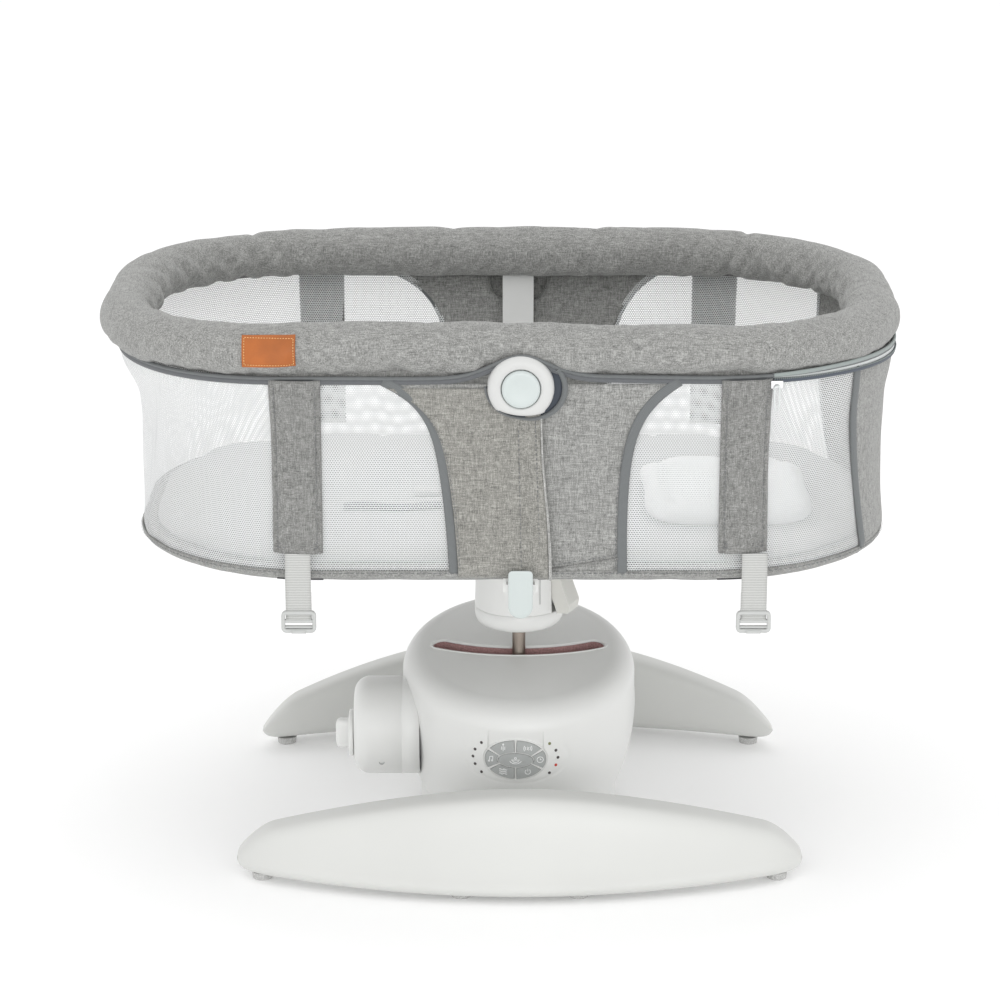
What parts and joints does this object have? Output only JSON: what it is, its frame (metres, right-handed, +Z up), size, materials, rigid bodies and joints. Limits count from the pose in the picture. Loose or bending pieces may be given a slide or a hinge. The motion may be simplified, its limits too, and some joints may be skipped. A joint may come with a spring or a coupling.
{
  "type": "baby swing",
  "caption": "Electric baby swing: a net-sided soft bassinet with a padded rim on a neck, carried by a swinging arm through an arc slot in a powered base with bowed legs.",
  "frame": {"origin": "middle of the footprint, on the floor under the middle of the rim", "axes": "+X along the bassinet towards its head end, -Y towards the side with the control keys, +Z up"},
  "size_m": [0.803, 0.5472, 0.587],
  "materials": {
    "white_plastic": "satin moulded",
    "button_plastic": "glossy moulded",
    "grey_keys": "matte",
    "rubber": "matte",
    "bright_steel": "polished",
    "bare_steel": "drawn tube",
    "felt": "brushed felt",
    "lamp_lens": "clear lens",
    "circuit_green": "printed board",
    "black_plastic": "moulded",
    "copper_coil": "wound enamelled wire",
    "heather_fabric": "heather grey woven",
    "zip_tape": "woven tape",
    "tan_leather": "smooth",
    "white_net": "fine open net",
    "board": "grey fibreboard",
    "mattress_cloth": "quilted",
    "pillow_cloth": "smooth padded",
    "white_webbing": "woven webbing",
    "buckle_plastic": "moulded"
  },
  "bodies": {
    "base": {"front_leg": "white_plastic", "rear_leg": "white_plastic", "foot_pads": "rubber", "chassis": "white_plastic", "chassis_screws": "bright_steel", "housing_shell": "white_plastic", "housing_crown": "white_plastic", "slot_liner": "felt", "control_fascia": "white_plastic", "indicator_lights": "lamp_lens", "key_mat": "rubber", "circuit_board": "circuit_green", "speaker": "black_plastic", "drive_coil": "copper_coil", "pivot_bearings": "bright_steel", "knob_pod": "white_plastic", "power_jack": "black_plastic"},
    "swing": {"pivot_shaft": "bright_steel", "swing_arm": "bare_steel", "drive_magnet": "bright_steel", "post": "bare_steel", "collar": "white_plastic"},
    "bassinet": {"neck_shell": "white_plastic", "yoke": "white_plastic", "front_hub": "white_plastic", "rear_hub": "white_plastic", "rim_frame": "bare_steel", "rim_bumper": "heather_fabric", "zip_band": "zip_tape", "zip_slider": "bright_steel", "leather_tag": "tan_leather", "mesh_foot_end": "white_net", "mesh_head_front": "white_net", "mesh_head_rear": "white_net", "head_end_panel": "heather_fabric", "front_panel": "heather_fabric", "rear_panel": "heather_fabric", "strap_sleeves": "heather_fabric", "basket_bottom": "heather_fabric", "base_board": "board", "mattress": "mattress_cloth", "head_pillow": "pillow_cloth"},
    "release_tab": {"release_tab": "button_plastic"},
    "latch_lever": {"latch_lever": "button_plastic"},
    "front_hub_button": {"front_hub_button": "button_plastic"},
    "rear_hub_button": {"rear_hub_button": "button_plastic"},
    "selector_knob": {"selector_knob": "white_plastic"},
    "zip_pull": {"zip_pull": "zip_tape"},
    "left_tail": {"webbing_left": "white_webbing", "buckle_left": "buckle_plastic"},
    "right_tail": {"webbing_right": "white_webbing", "buckle_right": "buckle_plastic"},
    "key_swing": {"key_swing": "grey_keys"},
    "key_music": {"key_music": "grey_keys"},
    "key_vibration": {"key_vibration": "grey_keys"},
    "key_timer": {"key_timer": "grey_keys"},
    "key_power": {"key_power": "grey_keys"},
    "key_waves": {"key_waves": "grey_keys"},
    "key_speed": {"key_speed": "grey_keys"}
  },
  "joints": [
    {"name": "arm_swing", "type": "hinge", "parent": "base", "child": "swing", "pos_m": [0.02, 0.14, 0.114], "axis": [0, 0, 1], "range_deg": [-30, 30], "stiffness_Nm_per_rad": 6},
    {"name": "bassinet_lift", "type": "slide", "parent": "swing", "child": "bassinet", "axis": [0, 0, 1], "range_m": [0, 0.07]},
    {"name": "release_tab_hinge", "type": "hinge", "parent": "bassinet", "child": "release_tab", "pos_m": [0.02, -0.245, 0.324], "axis": [-1, 0, 0], "range_deg": [0, 10], "stiffness_Nm_per_rad": 0.1},
    {"name": "latch_lever_hinge", "type": "hinge", "parent": "bassinet", "child": "latch_lever", "pos_m": [0.05444, -0.01606, 0.27], "axis": [-0.4226, -0.9063, 0], "range_deg": [0, 25], "stiffness_Nm_per_rad": 0.2},
    {"name": "front_hub_push", "type": "slide", "parent": "bassinet", "child": "front_hub_button", "axis": [0, 1, 0], "range_m": [0, 0.004], "stiffness_N_per_m": 600},
    {"name": "rear_hub_push", "type": "slide", "parent": "bassinet", "child": "rear_hub_button", "axis": [0, -1, 0], "range_m": [0, 0.004], "stiffness_N_per_m": 600},
    {"name": "selector_turn", "type": "hinge", "parent": "base", "child": "selector_knob", "pos_m": [-0.155, -0.022, 0.092], "axis": [-1, 0, 0], "range_deg": [-120, 120]},
    {"name": "zip_pull_swing", "type": "hinge", "parent": "bassinet", "child": "zip_pull", "pos_m": [0.266, -0.24824, 0.53], "axis": [-1, 0, 0], "range_deg": [0, 70]},
    {"name": "left_tail_swing", "type": "hinge", "parent": "bassinet", "child": "left_tail", "pos_m": [-0.197, -0.2494, 0.36], "axis": [-1, 0, 0], "range_deg": [0, 75]},
    {"name": "right_tail_swing", "type": "hinge", "parent": "bassinet", "child": "right_tail", "pos_m": [0.248, -0.2494, 0.36], "axis": [-1, 0, 0], "range_deg": [0, 75]},
    {"name": "key_swing_press", "type": "slide", "parent": "base", "child": "key_swing", "axis": [0, 1, 0], "range_m": [0, 0.0008], "stiffness_N_per_m": 400},
    {"name": "key_music_press", "type": "slide", "parent": "base", "child": "key_music", "axis": [0, 1, 0], "range_m": [0, 0.0008], "stiffness_N_per_m": 400},
    {"name": "key_vibration_press", "type": "slide", "parent": "base", "child": "key_vibration", "axis": [0, 1, 0], "range_m": [0, 0.0008], "stiffness_N_per_m": 400},
    {"name": "key_timer_press", "type": "slide", "parent": "base", "child": "key_timer", "axis": [0, 1, 0], "range_m": [0, 0.0008], "stiffness_N_per_m": 400},
    {"name": "key_power_press", "type": "slide", "parent": "base", "child": "key_power", "axis": [0, 1, 0], "range_m": [0, 0.0008], "stiffness_N_per_m": 400},
    {"name": "key_waves_press", "type": "slide", "parent": "base", "child": "key_waves", "axis": [0, 1, 0], "range_m": [0, 0.0008], "stiffness_N_per_m": 400},
    {"name": "key_speed_press", "type": "slide", "parent": "base", "child": "key_speed", "axis": [0, 1, 0], "range_m": [0, 0.0008], "stiffness_N_per_m": 400}
  ]
}
